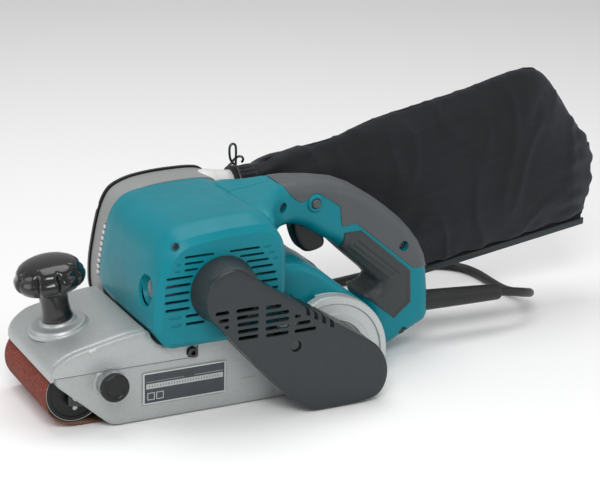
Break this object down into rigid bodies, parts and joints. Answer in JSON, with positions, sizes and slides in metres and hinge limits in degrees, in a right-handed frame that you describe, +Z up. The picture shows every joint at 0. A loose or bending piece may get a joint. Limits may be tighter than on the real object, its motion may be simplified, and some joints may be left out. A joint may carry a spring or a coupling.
{
  "type": "handheld belt sander",
  "caption": "Handheld electric belt sander with front knob, cast frame, side belt drive cover, closed rear handle, dust bag and mains lead.",
  "frame": {"origin": "middle of the flat sanding face, on the floor the machine stands on", "axes": "+X towards the handle and dust bag (rear), -Y towards the drive belt cover (left side), +Z up"},
  "size_m": [0.597, 0.313, 0.229],
  "materials": {
    "cast": "satin silver-grey cast aluminium",
    "teal": "fine-textured teal moulded plastic",
    "cover_plastic": "dark grey moulded plastic",
    "grip_rubber": "soft grey overmoulded rubber",
    "black_plastic": "glossy black plastic",
    "steel": "plain steel",
    "roller_alloy": "turned aluminium",
    "roller_rubber": "ribbed rubber lagging",
    "abrasive": "red-brown aluminium oxide abrasive cloth",
    "cork": "graphited cork",
    "plate": null,
    "copper": "laminations and copper windings",
    "fan_plastic": "moulded impeller",
    "grey_plastic": "satin mid-grey plastic",
    "pale_plastic": "pale grey plastic",
    "cord_rubber": "black rubber",
    "bag_cloth": "near-black woven bag cloth"
  },
  "bodies": {
    "root": {"base_frame": "cast", "front_cover": "cast", "motor_housing": "teal", "rear_cover": "teal", "handle_left": "teal", "handle_right": "teal", "drive_belt_cover": "cover_plastic", "grip_top_left": "grip_rubber", "grip_top_right": "grip_rubber", "grip_side_left": "grip_rubber", "grip_side_right": "grip_rubber", "front_knob": "black_plastic", "brush_cap_front": "black_plastic", "switch_body": "black_plastic", "fan_cover": "black_plastic", "power_plug": "black_plastic", "platen_plate": "steel", "roller_bearing_left": "steel", "roller_bearing_right": "steel", "tension_spring": "steel", "knob_bolt": "steel", "frame_screw": "steel", "lever_pin": "steel", "motor_bearing_left": "steel", "motor_bearing_right": "steel", "cover_screw": "steel", "handle_screw_front": "steel", "handle_screw_rear": "steel", "handle_screw_lower": "steel", "field_stator": "steel", "sanding_belt": "abrasive", "platen_pad": "cork", "rating_plate": "plate", "brush_holder_front": "copper", "brush_holder_rear": "copper", "fan_housing": "grey_plastic", "dust_nozzle": "pale_plastic", "cord_guard": "cord_rubber", "power_cord": "cord_rubber", "cord_coil": "cord_rubber", "poly_v_belt": "cord_rubber"},
    "drive_roller_set": {"drive_roller": "roller_rubber", "drive_shaft": "steel", "large_pulley": "steel"},
    "motor_rotor": {"armature": "copper", "motor_shaft": "steel", "commutator": "copper", "fan": "fan_plastic", "small_pulley": "steel"},
    "idler_carriage": {"idler_carriage": "steel"},
    "idler_fork": {"idler_fork": "steel", "idler_axle": "steel"},
    "idler_roller": {"idler_roller": "roller_alloy"},
    "tracking_knob": {"tracking_knob": "black_plastic"},
    "tension_lever": {"tension_lever": "steel"},
    "trigger": {"trigger": "black_plastic"},
    "lock_button": {"lock_button": "grip_rubber"},
    "dust_bag_set": {"dust_bag": "bag_cloth", "bag_clip": "steel"},
    "bag_rail": {"bag_rail": "cover_plastic"}
  },
  "joints": [
    {"name": "drive_roller_spin", "type": "hinge", "parent": "root", "child": "drive_roller_set", "pos_m": [0.11085, 0, 0.028], "axis": [0, 1, 0], "continuous": true},
    {"name": "motor_spin", "type": "hinge", "parent": "root", "child": "motor_rotor", "pos_m": [0.00465, 0, 0.11], "axis": [0, 1, 0], "continuous": true},
    {"name": "idler_roller_spin", "type": "hinge", "parent": "idler_fork", "child": "idler_roller", "pos_m": [-0.11085, 0, 0.028], "axis": [0, 1, 0], "continuous": true},
    {"name": "tension_lever_swing", "type": "hinge", "parent": "root", "child": "tension_lever", "pos_m": [-0.03685, 0.0575, 0.028], "axis": [0, 0, 1], "range_deg": [0, 90]},
    {"name": "idler_carriage_slide", "type": "slide", "parent": "root", "child": "idler_carriage", "axis": [1, 0, 0], "range_m": [0, 0.007], "deforming": ["tension_spring"]},
    {"name": "tracking_knob_turn", "type": "hinge", "parent": "root", "child": "tracking_knob", "pos_m": [-0.08785, -0.0644, 0.04], "axis": [0, -1, 0], "range_deg": [-360, 360]},
    {"name": "fork_tilt", "type": "hinge", "parent": "idler_carriage", "child": "idler_fork", "pos_m": [-0.07485, 0, 0.028], "axis": [0, 0, 1], "range_deg": [-0.5, 0.5]},
    {"name": "trigger_pull", "type": "hinge", "parent": "root", "child": "trigger", "pos_m": [0.10515, 0, 0.138], "axis": [0, -1, 0], "range_deg": [0, 9], "stiffness_Nm_per_rad": 0.6},
    {"name": "lock_button_press", "type": "slide", "parent": "root", "child": "lock_button", "axis": [0, 1, 0], "range_m": [0, 0.003], "stiffness_N_per_m": 300},
    {"name": "bag_pull", "type": "slide", "parent": "root", "child": "dust_bag_set", "axis": [1, 0, 0], "range_m": [0, 0.06]},
    {"name": "bag_rail_slide", "type": "slide", "parent": "dust_bag_set", "child": "bag_rail", "axis": [0.9886, 0, 0.1503], "range_m": [0, 0.205]}
  ],
  "couplings": [
    {"joint": "motor_spin", "follows": "drive_roller_spin", "ratio": 2.5517},
    {"joint": "idler_roller_spin", "follows": "drive_roller_spin", "ratio": 1},
    {"joint": "tension_lever_swing", "follows": "idler_carriage_slide", "rad_per_m": 224.39},
    {"joint": "tracking_knob_turn", "follows": "fork_tilt", "ratio": 720}
  ]
}
